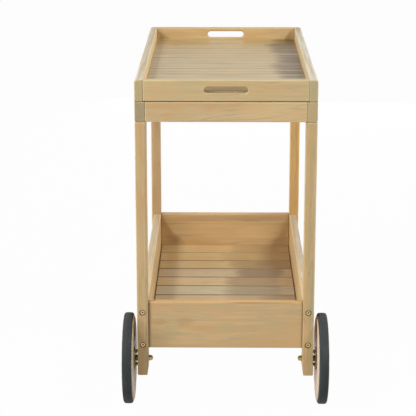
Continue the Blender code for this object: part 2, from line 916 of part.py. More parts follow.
def make_axle(side_name, side, cart):
    """Axle bolt, its lock nut inside the leg, and the spacer that keeps the hub off the leg."""
    hub_in = half_width + wheel_standoff - seat_gap - hub_flange_thickness
    hub_out = half_width + wheel_standoff + disc_thickness + seat_gap + hub_flange_thickness
    head = hub_out + seat_gap
    washer_outer = leg_inner - seat_gap
    nut_outer = washer_outer - axle_washer_thickness
    nut_inner = nut_outer - axle_nut_height
    collar_inner = nut_inner - axle_collar_height
    end = collar_inner - axle_end
    place_on_axle = Matrix.Translation((0, front_face + axle_setback, wheel_radius))
    turn = Matrix.Identity(4) if side > 0 else Matrix.Rotation(math.pi, 4, "Z")

    def seat(piece):
        piece.data.transform(place_on_axle @ turn)
        shade(piece)

    name = f"{side_name}_axle_bolt"
    outline = (
        (end, 0),
        (end, axle_radius),
        (head, axle_radius),
        (head, axle_head_radius),
        (head + axle_head_height / 2, axle_head_radius - axle_head_height / 4),
        (head + axle_head_height, axle_head_radius / 2),
        (head + axle_head_height, 0),
    )
    seat(place(name, turned(outline, round_steps, closed=False), cart, metal(name)))

    name = f"{side_name}_axle_nut"
    nut = place(
        name,
        turned(
            (
                (collar_inner, 0),
                (collar_inner, axle_collar_radius - axle_collar_edge),
                (collar_inner + axle_collar_edge, axle_collar_radius),
                (nut_outer, axle_collar_radius),
                (nut_outer, axle_washer_radius),
                (washer_outer, axle_washer_radius),
                (washer_outer, 0),
            ),
            round_steps, closed=False,
        ),
        cart, metal(name),
    )
    join(nut, rod(
        hexagon_radius(axle_nut_width), (nut_inner, 0, 0), (nut_outer, 0, 0), "X", hexagon_steps,
    ))
    cut(nut, rod(
        axle_radius + seat_gap, (collar_inner - overrun, 0, 0), (washer_outer + overrun, 0, 0),
        "X",
    ))
    seat(nut)

    name = f"{side_name}_axle_spacer"
    first = half_width + seat_gap
    last = hub_in - seat_gap
    outline = (
        (first, axle_radius + seat_gap),
        (first, spacer_radius),
        (last, spacer_radius),
        (last, axle_radius + seat_gap),
    )
    seat(place(name, turned(outline, round_steps, closed=True), cart, metal(name, dark_steel)))


def build():
    clear_scene()
    cart = empty("cart")
    tray = empty("tray")
    make_legs(cart)
    make_frame(cart)
    make_box(cart)
    make_shelf(cart)
    make_frame_bolts(cart)
    make_tray(tray)
    for side_name, side in sides():
        make_wheel(side_name, side)
        make_axle(side_name, side, cart)


build()
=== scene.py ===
"""Finishes, small hardware, light and camera for the rolling bar cart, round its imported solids.

Metres, +Z up. The wheel end is at -Y, and X runs across the cart.
"""

import math
import random

import bmesh
import bpy
from mathutils import Matrix, Vector


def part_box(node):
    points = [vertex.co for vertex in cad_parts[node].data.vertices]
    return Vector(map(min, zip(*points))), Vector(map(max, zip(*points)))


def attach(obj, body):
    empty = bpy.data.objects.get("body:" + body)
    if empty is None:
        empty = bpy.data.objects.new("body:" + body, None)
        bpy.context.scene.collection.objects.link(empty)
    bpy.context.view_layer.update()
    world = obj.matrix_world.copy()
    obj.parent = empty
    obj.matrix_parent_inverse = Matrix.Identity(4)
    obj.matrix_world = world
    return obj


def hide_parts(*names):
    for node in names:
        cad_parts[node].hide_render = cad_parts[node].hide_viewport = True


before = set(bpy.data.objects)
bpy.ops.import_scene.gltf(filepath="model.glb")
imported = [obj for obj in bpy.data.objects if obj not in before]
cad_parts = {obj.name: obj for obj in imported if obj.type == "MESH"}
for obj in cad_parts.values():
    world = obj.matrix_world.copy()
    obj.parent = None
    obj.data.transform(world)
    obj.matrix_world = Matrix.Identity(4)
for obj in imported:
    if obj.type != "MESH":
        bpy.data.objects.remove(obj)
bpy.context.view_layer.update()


def tint(red, green, blue):
    """A colour as it is named on a screen, turned into the light that it gives back."""
    def light(value):
        value /= 255
        return value / 12.92 if value <= 0.04045 else ((value + 0.055) / 1.055) ** 2.4
    return light(red), light(green), light(blue), 1.0


def sum_of(operation, reflected=False):
    """A sum on signals, as a method that adds its Math node."""
    def made(self, *others):
        values = (*others, self) if reflected else (self, *others)
        return self.finish.maths(operation, *values)
    return made


class Signal:
    """Something that varies over a surface. Sums on it add Math nodes to its finish."""

    __add__, __radd__ = sum_of("ADD"), sum_of("ADD", True)
    __sub__, __rsub__ = sum_of("SUBTRACT"), sum_of("SUBTRACT", True)
    __mul__, __rmul__ = sum_of("MULTIPLY"), sum_of("MULTIPLY", True)
    __truediv__ = sum_of("DIVIDE")
    __pow__ = sum_of("POWER")
    __abs__ = sum_of("ABSOLUTE")
    root = sum_of("SQRT")
    fraction = sum_of("FRACT")
    wave = sum_of("SINE")
    least = sum_of("MINIMUM")
    most = sum_of("MAXIMUM")

    def __init__(self, finish, socket):
        self.finish = finish
        self.socket = socket

    def ramp(self, low, high):
        """0 at low, 1 at high, with soft ends; high may lie below low."""
        flip = high < low
        return self.finish.signal(
            "ShaderNodeMapRange",
            {"interpolation_type": "SMOOTHSTEP", "clamp": True},
            {"Value": self, "From Min": min(low, high), "From Max": max(low, high),
             "To Min": float(flip), "To Max": float(not flip)},
        )


class Finish:
    """One material on the cart, or the light of the world, and the making of its nodes."""

    def __init__(self, name, world=None):
        self.material = world or bpy.data.materials.new(name)
        self.material.use_nodes = True
        self.tree = self.material.node_tree
        self.shader = self.tree.nodes["Background" if world else "Principled BSDF"]

    def node(self, kind, settings=None, values=None):
        """Adds a node with its settings, and then the values or links of its sockets."""
        made = self.tree.nodes.new(kind)
        for key, value in (settings or {}).items():
            setattr(made, key, value)
        for key, value in (values or {}).items():
            if isinstance(key, str):
                socket = next(s for s in made.inputs if key in (s.identifier, s.name))
            else:
                socket = made.inputs[key]
            if isinstance(value, Signal):
                self.tree.links.new(value.socket, socket)
            else:
                socket.default_value = value
        return made

    def signal(self, kind, settings=None, values=None, output=0):
        """What a new node puts out."""
        return Signal(self, self.node(kind, settings, values).outputs[output])

    def maths(self, operation, *values):
        return self.signal("ShaderNodeMath", {"operation": operation}, dict(enumerate(values)))

    def place(self, kind="Object"):
        """X, Y and Z of a spot, in the cart's metres, or of the way it faces (Normal)."""
        spot = self.signal("ShaderNodeTexCoord", output=kind)
        parts = self.node("ShaderNodeSeparateXYZ", {}, {0: spot})
        return [Signal(self, output) for output in parts.outputs]

    def rays(self, *kinds):
        """Whether a spot is met by a ray of each kind."""
        paths = self.node("ShaderNodeLightPath").outputs
        return [Signal(self, paths[f"Is {kind} Ray"]) for kind in kinds]

    def noise(self, x, y, z, detail=2.0, roughness=0.5):
        point = self.signal("ShaderNodeCombineXYZ", {}, {0: x, 1: y, 2: z})
        return self.signal("ShaderNodeTexNoise", {}, {
            "Vector": point, "Scale": 1.0, "Detail": detail, "Roughness": roughness,
        })

    def mix(self, factor, first, second, blend="MIX"):
        """Goes from one colour to another."""
        return self.signal(
            "ShaderNodeMix", {"data_type": "RGBA", "blend_type": blend},
            {"Factor_Float": factor, "A_Color": first, "B_Color": second}, output=2,
        )

    def scaled(self, colour, amount):
        """A colour made lighter or darker."""
        if not isinstance(colour, Signal):
            colour = colour[:3]
        return self.signal(
            "ShaderNodeVectorMath", {"operation": "SCALE"}, {0: colour, "Scale": amount},
        )

    def feed(self, name, value):
        """Sets a socket of the surface, or links what varies over it."""
        if isinstance(value, Signal):
            self.tree.links.new(value.socket, self.shader.inputs[name])
        else:
            self.shader.inputs[name].default_value = value

    def bump(self, height, distance, strength):
        self.feed("Normal", self.signal(
            "ShaderNodeBump", {}, {"Height": height, "Distance": distance, "Strength": strength},
        ))


# Wood tones
plain_tone = (1.0, 1.0, 1.0)
honey = tint(205, 172, 122)
pale = tint(212, 188, 146)
tray_pale = tint(207, 187, 146)
greenish = tint(184, 168, 126)
brown = tint(194, 152, 102)
heart = tint(138, 110, 76)
deep_heart = tint(126, 100, 70)
knot_brown = tint(112, 82, 54)
vein_brown = tint(142, 116, 82)
end_grey = tint(168, 150, 116)
worn_edge_and_highlight = tint(222, 202, 162)
orange_edge = tint(214, 170, 112)
# Painted sheen, for faces that look up
sheen_white = tint(216, 207, 188)
shaded = tint(136, 102, 66)
sunny = tint(226, 194, 140)
gold = tint(234, 208, 158)
amber = tint(222, 182, 120)
straw = tint(200, 176, 136)
rust = tint(180, 132, 78)
dusky = tint(110, 86, 44)
# Painted light, for the strip behind the hand slot
painted_slot_light = tint(255, 248, 226)

# Noise in the wood: rates per metre along and across the grain, detail and roughness
layers = {
    "sweep": (2.6, 11, 2.0, 0.5),
    "drift": (4.0, 19, 1.0, 0.5),
    "clouds": (11, 56, 3.0, 0.55),
    "streak": (3.2, 130, 3.0, 0.6),
    "contour": (4.5, 62, 1.0, 0.5),
    "hairs": (2.2, 210, 2.0, 0.5),
}
fibre_rates = (16, 760)
pore_rates = (95, 2100)

ring_spacing = 0.0062
ring_wander = 0.019  # how far the sweep pushes a ring
knot_bend = 0.01  # how far a knot pushes the rings round it
ring_shade = 0.12
fibre_shade = 0.16
pore_shade = 0.12
wood_relief = 0.0003
# How much of the painted shade in a slat's gap is left at its right end
gap_shade_fade = 0.45  # how dark a joint still is at its right end

# How far the figure is moved in the second half of a glued board
half_shift = (0.37, 0.041, 0.013)

# Where worn lines, dark glue lines and the painted shade along a lower edge begin and are
# full, from the edge or the joint
worn_line = (0.004, 0.0006)
glue_line_width = (0.0015, 0.0004)
below_shade_reach = (0.0026, 0.0008)


def oval(spot, middle, reach):
    """1 in the middle of an oval region of a board, falling to 0 at its rim."""
    dx, dy, dz = [((place - m) / r) ** 2 for place, m, r in zip(spot, middle, reach)]
    return (dx + dy + dz).ramp(1.0, 0.0)


def board(
    name, grain, low, high, seed, base=honey, light=pale, tone=plain_tone, top_light_tint=plain_tone,
    end=end_grey, edge=worn_edge_and_highlight, pith=(0.01, -0.05), figure=0.5, green=0.5, blush=0.3,
    streaks=0.5, vein=0.25, slope=0.0, fine=1.0, patches=(), late_patches=(), knots=(),
    corners=(), glue_line=None, seam=0.6, gloss=0.5, worn=0.6, top_sheen=0.0, bloom=0.0,
    dark_joints=0.0, shade_below=False, streaky=False,
):
    """Oiled hardwood, grown as rings round a pith that lies beside the board.

    low and high are its box, and grain is its long direction. base and light are its woods,
    tone tints all of it, top_light_tint is a tint painted on what faces up for how the tops
    take the light, end the cut ends and edge the worn edges. fine below 1 makes the figure
    wider, and slope leans it. figure, green, blush, streaks, vein, seam, worn, top_sheen,
    bloom and dark_joints are strengths: top_sheen of painted sheen on what faces up,
    bloom of painted sheen in fine hair lines there, and dark_joints of painted shade on the
    side that faces the next slat, fading to the right end, with a painted highlight in the
    edge colour on its other side.

    patches, late_patches (over the worn edges) and knots have a middle and a reach along X, Y
    and Z, a strength, and a patch may have a colour; some patches paint light and some paint
    shade. Those of a streaky board end in long hairs. corners are painted shadows, dark
    triangles on the face to the wheel end: where they begin in X and Z, how far they run and
    rise, and a strength. glue_line is where two halves meet. A shade_below board has painted
    shade along its lower edge, where it sits on another.
    """
    dice = random.Random(seed)
    finish = Finish(name + "_wood")
    x, y, z = finish.place()
    middle = (Vector(low) + Vector(high)) / 2
    shift = [dice.uniform(3, 30) for _ in range(8)]

    spot = dict(zip("XYZ", (x - middle.x, y - middle.y, z - middle.z)))
    across = [axis for axis in "XYZ" if axis != grain]
    size = dict(zip("XYZ", Vector(high) - Vector(low)))
    wide, thin = sorted(across, key=lambda axis: -size[axis])
    u, v, w = spot[grain], spot[wide], spot[thin]
    if slope:
        v = v + u * slope
    if glue_line is not None:
        second = (spot[wide] - glue_line).ramp(-0.0002, 0.0002)
        u, v, w = [value + second * far for value, far in zip((u, v, w), half_shift)]

    def layer(kind):
        long_rate, cross_rate, detail, roughness = layers[kind]
        i = list(layers).index(kind)
        rate = cross_rate * fine
        return finish.noise(
            u * long_rate + shift[i], v * rate + shift[i + 1], w * rate, detail, roughness,
        )

    sweep, drift, clouds, streak, contour = [layer(kind) for kind in list(layers)[:5]]
    along, cross = fibre_rates
    fibre = finish.noise(u * along + shift[1], v * cross, w * cross, 2.0, 0.6)
    along, cross = pore_rates
    pores = finish.noise(u * along + shift[0], v * cross, w * cross, 1.0).ramp(0.64, 0.8)

    # Growth rings, pushed aside by knots
    facing = dict(zip("XYZ", finish.place("Normal")))
    bend = 0.0
    cores = []
    for centre, reach, strength in knots:
        near = oval((x, y, z), centre, reach)
        bend = bend + near * (knot_bend * strength)
        cores.append(near.ramp(0.55, 0.95) * strength)
    away = ((v - pith[0]) ** 2 + (w - pith[1]) ** 2).root()
    phase = (away + sweep * ring_wander + bend) / ring_spacing + streak * 0.5
    late = phase.fraction()
    rings = late.ramp(0.3, 0.93) * late.ramp(1.0, 0.94)
    shown_rings = rings * drift.ramp(0.3, 0.66)
    veins = abs(contour - 0.5).ramp(0.03, 0.004) * drift.ramp(0.34, 0.6)

    # Colour of the bare wood, with its marks
    colour = finish.mix(streak.ramp(0.3, 0.7) * streaks, base, light)
    colour = finish.mix(clouds.ramp(0.4, 0.66) * green, colour, greenish)
    colour = finish.mix(drift.ramp(0.58, 0.36) * clouds.ramp(0.66, 0.4) * blush, colour, brown)
    for centre, reach, strength, *own in patches:
        near = oval((x, y, z), centre, reach)
        if streaky:
            ragged = (near + (streak - 0.5) * 1.1).ramp(0.05, 0.95) * near.ramp(0.0, 0.35)
        else:
            ragged = near * (near * 0.8 + streak * 1.4 + sweep * 0.6).ramp(0.85, 1.5)
        colour = finish.mix(ragged * strength, colour, own[0] if own else heart)
    # Painted shadows: dark triangles that the side rails and boards cast on the face to the wheel
    # end
    for side_face, foot, run, rise, strength in corners:
        off = abs(x - side_face)
        inside = 1.0 - off / run - abs(z - foot) / rise
        rim = inside.ramp(0.0, 0.18) * (off.ramp(0.0, run * 0.4) * 0.8 + 0.2)
        forward = facing["Y"].ramp(-0.3, -0.7)
        colour = finish.mix(rim * forward * strength, colour, shaded)
    colour = finish.mix(veins * vein, colour, vein_brown)
    shade = (
        1.0 - shown_rings * (ring_shade * figure) + (fibre - 0.5) * fibre_shade
        - pores * pore_shade
    )
    colour = finish.scaled(colour, shade)
    for core in cores:
        colour = finish.mix(core * 0.8, colour, knot_brown)

    # What the faces that look up (painted sheen and a tint for the light on them), the painted
    # shade in the gaps and the cut ends add
    upward = facing["Z"].ramp(0.55, 0.9)
    # Painted sheen: pale spots on what faces up
    if top_sheen:
        sheen_spots = upward * (clouds * 0.5 + streak).ramp(0.55, 0.95) * top_sheen
        colour = finish.mix(sheen_spots, colour, sheen_white)
    # A tint on what faces up, painted for how the tops take the light
    if top_light_tint != plain_tone:
        toned = finish.mix(1.0, colour, (*top_light_tint, 1.0), "MULTIPLY")
        colour = finish.mix(upward, colour, toned)
    # Painted sheen: fine pale hair lines on what faces up, stronger towards the ends
    if bloom:
        hairs = layer("hairs").ramp(0.54, 0.66)
        ends = abs(spot[grain]).ramp(0.04, 0.15) * 0.8 + 0.2
        colour = finish.mix(hairs * ends * upward * bloom, colour, sheen_white)
    joint = None
    # Painted shade on the side that faces the next slat, fading towards the right end, and a
    # painted highlight in the edge colour on the side that faces away
    if dark_joints:
        joint = (0.0 - facing[wide]).ramp(0.1, 0.5)
        fading = spot[grain].ramp(0.14, -0.06) * (1.0 - gap_shade_fade) + gap_shade_fade
        colour = finish.scaled(colour, 1.0 - joint * fading * dark_joints)
        colour = finish.mix(facing[wide].ramp(0.2, 0.6) * 0.5, colour, edge)
    cut_end = abs(facing[grain]).ramp(0.7, 0.95)
    end_shade = 0.9 + rings * 0.16 + (fibre - 0.5) * 0.35
    colour = finish.mix(cut_end * 0.92, colour, finish.scaled(end, end_shade))

    # Worn edges, glue line and painted shade along the lower edge
    gaps = [
        (high[i] - low[i]) / 2 - abs(value - middle[i]) for i, value in enumerate((x, y, z))
    ]
    border = gaps[0].least(gaps[1]).most(gaps[0].most(gaps[1]).least(gaps[2]))
    rubbed = border.ramp(*worn_line) * streak.ramp(0.15, 0.6) * (1.0 - cut_end * 0.6)
    if joint is not None:
        rubbed = rubbed * (1.0 - joint)
    colour = finish.mix(rubbed * worn, colour, edge)
    if glue_line is not None:
        seam_line = abs(spot[wide] - glue_line).ramp(*glue_line_width)
        colour = finish.mix(seam_line * seam, colour, knot_brown)
    for centre, reach, strength, own in late_patches:
        colour = finish.mix(oval((x, y, z), centre, reach) * strength, colour, own)
    # Painted shade along the lower edge, where the board sits on another
    if shade_below:
        colour = finish.mix((z - low[2]).ramp(*below_shade_reach) * 0.75, colour, knot_brown)
    colour = finish.mix(1.0, colour, (*tone, 1.0), "MULTIPLY")

    finish.feed("Base Color", colour)
    finish.feed("Roughness", gloss + (fibre - 0.5) * 0.18 + cut_end * 0.2 - rubbed * 0.05)
    finish.feed("Specular IOR Level", 0.45)
    finish.bump(fibre * 0.5 - rings * 0.25 - pores * 0.9, wood_relief, 0.55)
    return finish.material


# Wheel finishes: where the tread and the wooden rim begin and are full, from the axle
tread_zone = (0.115, 0.119)
wood_rim_zone = (0.102, 0.1085)
wheel_relief = 0.00025
wheel_ring_spacing = 0.0055
wheel_pith = (0.004, 0.07)
tool_rate = 2600

# Rubber and wheel wood colours. The wheel wood is wood with a painted sheen, which makes it
# greyish pink; the rim wood shows the plain wood
dark_rubber = tint(48, 53, 55)
scuffed_rubber = tint(61, 65, 65)
dusty_rubber = tint(84, 85, 81)
wheel_wood = tint(198, 181, 162)
pale_wheel_wood = tint(212, 201, 187)
grey_wheel_wood = tint(180, 160, 144)
wheel_rim_wood = tint(206, 168, 118)

# Yellow zinc from pink to green and back, its soot, and the painted shade and grease in a socket
zinc_sheen = (
    (0.3, tint(226, 186, 160)), (0.45, tint(216, 190, 134)),
    (0.58, tint(190, 192, 118)), (0.72, tint(206, 178, 150)),
)
zinc_soot = tint(70, 62, 52)
socket_shade_and_grease = tint(58, 46, 30)
zinc_relief = 0.00006


def spot_on_wheel(finish, hub):
    """A spot's place, how far it lies from the axle along Y, and how far in all."""
    x, y, z = finish.place()
    dy, dz = y - hub.y, z - hub.z
    return x, y, z, dy, (dy * dy + dz * dz).root()


def rubber(name, hub, seed, light_lift):
    """Matt grey rubber with fine scuffs round the tread."""
    finish = Finish(name + "_rubber")
    x, y, z, _, radius = spot_on_wheel(finish, hub)
    grit = finish.noise(x * 900 + seed, y * 900, z * 900, 2.0, 0.7)
    scuff = finish.noise(x * 240 + seed, y * 26, z * 26, 3.0, 0.6)
    dust = finish.noise(x * 60, y * 18 + seed, z * 18)
    tread = radius.ramp(*tread_zone)
    colour = finish.mix(scuff.ramp(0.45, 0.75) * 0.6, dark_rubber, scuffed_rubber)
    colour = finish.mix(tread * dust.ramp(0.4, 0.75) * 0.22, colour, dusty_rubber)
    # light_lift paints this wheel lighter, standing in for the light on it
    colour = finish.scaled(colour, (0.92 + grit * 0.16) * light_lift)
    finish.feed("Base Color", colour)
    finish.feed("Roughness", 0.74 + scuff * 0.16)
    finish.feed("Specular IOR Level", 0.35)
    finish.bump(grit + scuff * 0.6, wheel_relief, 0.7)
    return finish.material


def turned_wood(name, hub, seed, light_lift):
    """The wooden wheel: board grain, with faint rings from the turning tool. Its face is wood
    with a painted sheen, greyish pink, and turns halfway to the plain rim wood near the edge.
    """
    finish = Finish(name + "_turned_wood")
    x, y, z, dy, radius = spot_on_wheel(finish, hub)
    sweep = finish.noise(y * 9 + seed, z * 3, x * 9)
    streak = finish.noise(y * 80 + seed, z * 3, x * 80, 3.0, 0.6)
    fibre = finish.noise(y * 800 + seed, z * 18, x * 800, 2.0, 0.6)
    away = ((dy - wheel_pith[0]) ** 2 + (x - hub.x + wheel_pith[1]) ** 2).root()
    phase = away + sweep * 0.02
    rings = (phase / wheel_ring_spacing).fraction().ramp(0.3, 0.95)
    tool = (radius * tool_rate).wave() * 0.5 + 0.5
    colour = finish.mix(streak.ramp(0.3, 0.7), wheel_wood, pale_wheel_wood)
    colour = finish.mix(sweep.ramp(0.45, 0.7) * 0.4, colour, grey_wheel_wood)
    shade = 1.0 - rings * 0.12 + (fibre - 0.5) * 0.2 - tool * 0.03
    # light_lift paints this wheel lighter, standing in for the light on it
    colour = finish.scaled(colour, shade * light_lift)
    colour = finish.mix(radius.ramp(*wood_rim_zone) * 0.5, colour, wheel_rim_wood)
    finish.feed("Base Color", colour)
    finish.feed("Roughness", 0.56 + (fibre - 0.5) * 0.2)
    finish.feed("Specular IOR Level", 0.4)
    finish.bump(fibre * 0.5 + tool * 0.35 - rings * 0.3, wheel_relief, 0.5)
    return finish.material


def set_stops(ramp, stops):
    while len(ramp.elements) > 1:
        ramp.elements.remove(ramp.elements[-1])
    ramp.elements[0].position, ramp.elements[0].color = stops[0]
    for position, colour in stops[1:]:
        ramp.elements.new(position).color = colour


def zinc(name, seed, dark=0.0, rough=0.3, lean=0.0, socket=None):
    """Yellow zinc plating, with the pink and green that such plating shows.

    lean goes from pink to green. socket is the middle of a bolt's face and the way the bolt
    points along Y; the hollow there has painted shade and grease.
    """
    finish = Finish(name + "_plating")
    x, y, z = finish.place()
    cloud = finish.noise(x * 130 + seed, y * 130, z * 130, 2.0, 0.55)
    grain = finish.noise(x * 1600, y * 1600 + seed, z * 1600, 2.0, 0.6)
    sheen = finish.node("ShaderNodeValToRGB", {}, {0: cloud + lean})
    set_stops(sheen.color_ramp, zinc_sheen)
    colour = Signal(finish, sheen.outputs[0])
    colour = finish.mix(grain.ramp(0.55, 0.8) * (0.25 + dark * 0.6), colour, zinc_soot)
    if dark:
        colour = finish.scaled(colour, 1.0 - dark)
    metal = 1.0
    if socket:
        middle, inwards = socket
        off = ((x - middle.x) ** 2 + (z - middle.z) ** 2).root()
        depth = (y - middle.y) * inwards - head_recess
        # Painted shade and grease in the socket's hollow
        hollow = off.ramp(socket_width * 0.75, socket_width * 0.6) * depth.ramp(0.0, soft_edge)
        colour = finish.mix(hollow, colour, socket_shade_and_grease)
        metal = 1.0 - hollow * 0.8
    finish.feed("Base Color", colour)
    finish.feed("Metallic", metal)
    finish.feed("Roughness", rough + grain * 0.16)
    finish.bump(grain, zinc_relief, 0.5)
    return finish.material


def mesh_of(work, name="shape"):
    """A mesh of the shape that was worked on."""
    mesh = bpy.data.meshes.new(name)
    work.to_mesh(mesh)
    work.free()
    return mesh


def placed(name, data):
    """A new object in the scene."""
    made = bpy.data.objects.new(name, data)
    bpy.context.scene.collection.objects.link(made)
    return made


def dress(node, material):
    """Puts a finish on a carried-over piece."""
    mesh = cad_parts[node].data
    mesh.materials.clear()
    mesh.materials.append(material)


def trimmed(node, axis=0, first=0.0, last=0.0):
    """A board's box without its tenons."""
    low, high = [list(corner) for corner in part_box(node)]
    low[axis] += first
    high[axis] -= last
    return low, high


# Tenons, which the box of a board's wood leaves out
leg_tenon = 0.024
frame_tenon = 0.008
panel_tenon = 0.006
tray_tenon = 0.007

# How each board looks: where the pith lies beside it, its tone and its marks
legs = {
    "front_left_leg": dict(
        seed=11, pith=(0.03, -0.09), green=0.25, blush=0.5,
        # Painted shade along the inner edge of the leg's face
        patches=(((-0.2025, -0.393, 0.45), (0.004, 0.02, 0.9), 0.45, shaded),),
    ),
    "front_right_leg": dict(
        seed=12, pith=(-0.02, 0.08), green=0.8, blush=0.15, tone=(0.95, 0.96, 0.97),
        patches=(
            # A lighter amber strip by the inner edge, and painted light along the outer edge
            ((0.206, -0.393, 0.45), (0.008, 0.02, 0.9), 0.55, amber),
            ((0.23, -0.393, 0.45), (0.005, 0.02, 0.9), 0.6, sunny),
        ),
    ),
    "rear_left_leg": dict(
        seed=13, pith=(0.05, 0.07), green=0.2, blush=0.5, tone=(0.94, 0.91, 0.92),
        patches=(
            # Painted shade near the top, under the frame and tray, and painted light along the
            # outer edge
            ((-0.212, 0.465, 0.8), (0.03, 0.06, 0.33), 0.55, shaded),
            ((-0.232, 0.465, 0.55), (0.012, 0.06, 0.4), 0.65, sunny),
        ),
    ),
    "rear_right_leg": dict(
        seed=14, pith=(-0.06, 0.05), green=0.1, blush=0.6, tone=(1.16, 1.02, 0.74),
        patches=(
            # Painted shade near the top, under the frame and tray, and painted light along the
            # outer edge
            ((0.212, 0.465, 0.8), (0.03, 0.06, 0.24), 0.45, shaded),
            ((0.232, 0.465, 0.55), (0.012, 0.06, 0.4), 0.6, sunny),
        ),
        knots=(((0.216, 0.465, 0.706), (0.012, 0.016, 0.01), 0.8),),
    ),
}
frame_rails = {
    "frame_left_rail": dict(
        seed=21, pith=(0.012, -0.028), green=0.4, blush=0.2, end=tint(166, 150, 116),
    ),
    "frame_right_rail": dict(
        seed=22, pith=(-0.015, 0.05), blush=0.2, end=tint(192, 168, 126),
    ),
    "frame_front_rail": dict(
        seed=23, pith=(0.022, -0.034), green=0.35, blush=0.6, vein=0.35, slope=-0.05,
        tone=(1.01, 1.03, 1.06),
        patches=(((0.13, -0.393, 0.785), (0.13, 0.03, 0.06), 0.4, sunny),),
    ),
    "frame_rear_rail": dict(seed=24, pith=(-0.02, 0.05), green=0.3, blush=0.4),
}
box_boards = {
    "box_left_board": dict(seed=31, pith=(0.02, -0.06), green=0.3, top_sheen=0.5),
    "box_right_board": dict(seed=32, pith=(-0.03, 0.06), green=0.3, top_sheen=0.7),
    "box_front_panel": dict(
        seed=33, pith=(-0.02, 0.06), green=0.6, blush=0.4, figure=0.4, edge=orange_edge,
        top_light_tint=(0.95, 0.93, 0.8), tone=(1.07, 1.04, 1.02), vein=0.15, fine=1.3,
        patches=(
            ((-0.172, -0.386, 0.222), (0.026, 0.03, 0.012), 0.3, rust),
            ((-0.105, -0.386, 0.224), (0.03, 0.03, 0.016), 0.3, rust),
            # Painted shadow of the left leg on the panel's left end
            ((-0.201, -0.386, 0.214), (0.01, 0.03, 0.2), 0.55, shaded),
        ),
        late_patches=(
            ((0.065, -0.3868, 0.2755), (0.085, 0.006, 0.0032), 0.85, rust),
            ((0.15, -0.3868, 0.2755), (0.05, 0.006, 0.0026), 0.5, rust),
        ),
    ),
    "box_rear_panel": dict(
        seed=34, pith=(0.01, -0.07), green=0.15, blush=0.45, glue_line=0.031, seam=0.35,
        edge=orange_edge, patches=(
            ((-0.152, 0.47, 0.196), (0.022, 0.03, 0.016), 0.35),
            ((0.0, 0.47, 0.262), (0.23, 0.03, 0.016), 0.38, shaded),
            ((0.12, 0.47, 0.215), (0.1, 0.03, 0.03), 0.35, sunny),
            # Painted light, lifting the shade in the left corner
            ((-0.201, 0.47, 0.205), (0.045, 0.03, 0.06), 0.45, sunny),
        ),
        # Painted shadows of the side boards in both corners
        corners=((-0.201, 0.1753, 0.088, 0.0907, 0.25), (0.201, 0.1753, 0.06, 0.081, 0.25)),
    ),
}
tray_boards = {
    "tray_left_rail": dict(
        seed=41, pith=(0.02, 0.05), green=0.35, blush=0.1, top_sheen=0.9, end=tint(190, 169, 125),
        top_light_tint=(0.87, 0.92, 0.98), shade_below=True,
        # Painted light on the rail's inner face
        patches=(((-0.208, 0.05, 0.845), (0.006, 0.9, 0.05), 0.95, gold),),
    ),
    "tray_right_rail": dict(
        seed=42, pith=(-0.02, 0.06), green=0.4, blush=0.1, top_sheen=1.0, end=tint(184, 167, 127),
        tone=(1.04, 1.06, 1.08), top_light_tint=(0.92, 0.96, 0.99), shade_below=True,
        # The rail's inner face, tinted for how it takes the light
        patches=(((0.208, 0.05, 0.842), (0.006, 0.9, 0.03), 0.95, straw),),
    ),
    "tray_front_panel": dict(
        seed=43, green=0.45, blush=0.25, slope=0.02, tone=(1.0, 1.05, 1.07),
        late_patches=(((0.0, -0.393, 0.8262), (0.056, 0.004, 0.0026), 0.55, rust),),
    ),
    "tray_rear_panel": dict(
        seed=44, pith=(-0.01, 0.05), green=0.1, blush=0.6, tone=(1.03, 1.08, 1.1), worn=0.3,
        # Painted shadows of the side rails in both corners
        corners=((-0.209, 0.8281, 0.044, 0.0345, 0.45), (0.209, 0.8281, 0.034, 0.047, 0.5)),
    ),
}

# Slats from the wheel end on: a base colour each, and on the shelf the strengths of the heart
# mark, the painted shade in the gap and the dark right end, which is partly painted shade
slat_count = 10
shelf_tones = (
    (196, 160, 114), (186, 158, 120), (200, 162, 110), (197, 160, 117), (190, 172, 138),
    (206, 166, 116), (190, 160, 128), (204, 166, 112), (216, 178, 122), (218, 177, 124),
)
shelf_hearts = (0.45, 0.25, 0.6, 0.28, 0.62, 0.68, 0.76, 0.56, 0.3, 0.4)
shelf_gap_shades = (0.8,) * 8 + (0.65, 0.45)
shelf_far_ends = (0.35, 0.35, 0.35, 0.4, 0.0, 0.05, 0.05, 0.64, 0.5, 0.42)
deep_heart_slat = 7
# The first slat's dark tone is painted shade of the front panel
tray_tones = (
    (146, 120, 76), (200, 173, 124), (196, 173, 126), (200, 171, 118), (196, 172, 124),
    (201, 173, 121), (197, 171, 120), (203, 174, 119), (210, 178, 117), (211, 177, 114),
)
tray_knots = {
    5: (((-0.171, 0.018, 0.828), (0.014, 0.006, 0.01), 0.6),),
    7: (((-0.184, 0.203, 0.828), (0.005, 0.014, 0.01), 0.5),),
}
far_tray_slats = (9, 10)


def dress_boards():
    for node, marks in legs.items():
        low, high = trimmed(node, axis=2, last=leg_tenon)
        dress(node, board(node, "Z", low, high, **marks))
    sets = ((frame_rails, frame_tenon), (box_boards, panel_tenon), (tray_boards, tray_tenon))
    for boards, tenon in sets:
        for node, marks in boards.items():
            side = "left" in node or "right" in node
            low, high = trimmed(node) if side else trimmed(node, 0, tenon, tenon)
            dress(node, board(node, "Y" if side else "X", low, high, **marks))
    for batten in ("shelf_left", "shelf_right", "tray_left", "tray_right"):
        node = batten + "_batten"
        low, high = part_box(node)
        dress(node, board(node, "Y", low, high, seed=len(node) + ord(node[6])))


def dark_mark(dice, middle, along, sideways, length, width):
    """The middle and the reach of a dark mark near a slat's right end, drawn in this order."""
    return (
        (dice.uniform(*along), middle.y + dice.uniform(-sideways, sideways), middle.z),
        (dice.uniform(*length), dice.uniform(*width), 0.03),
    )


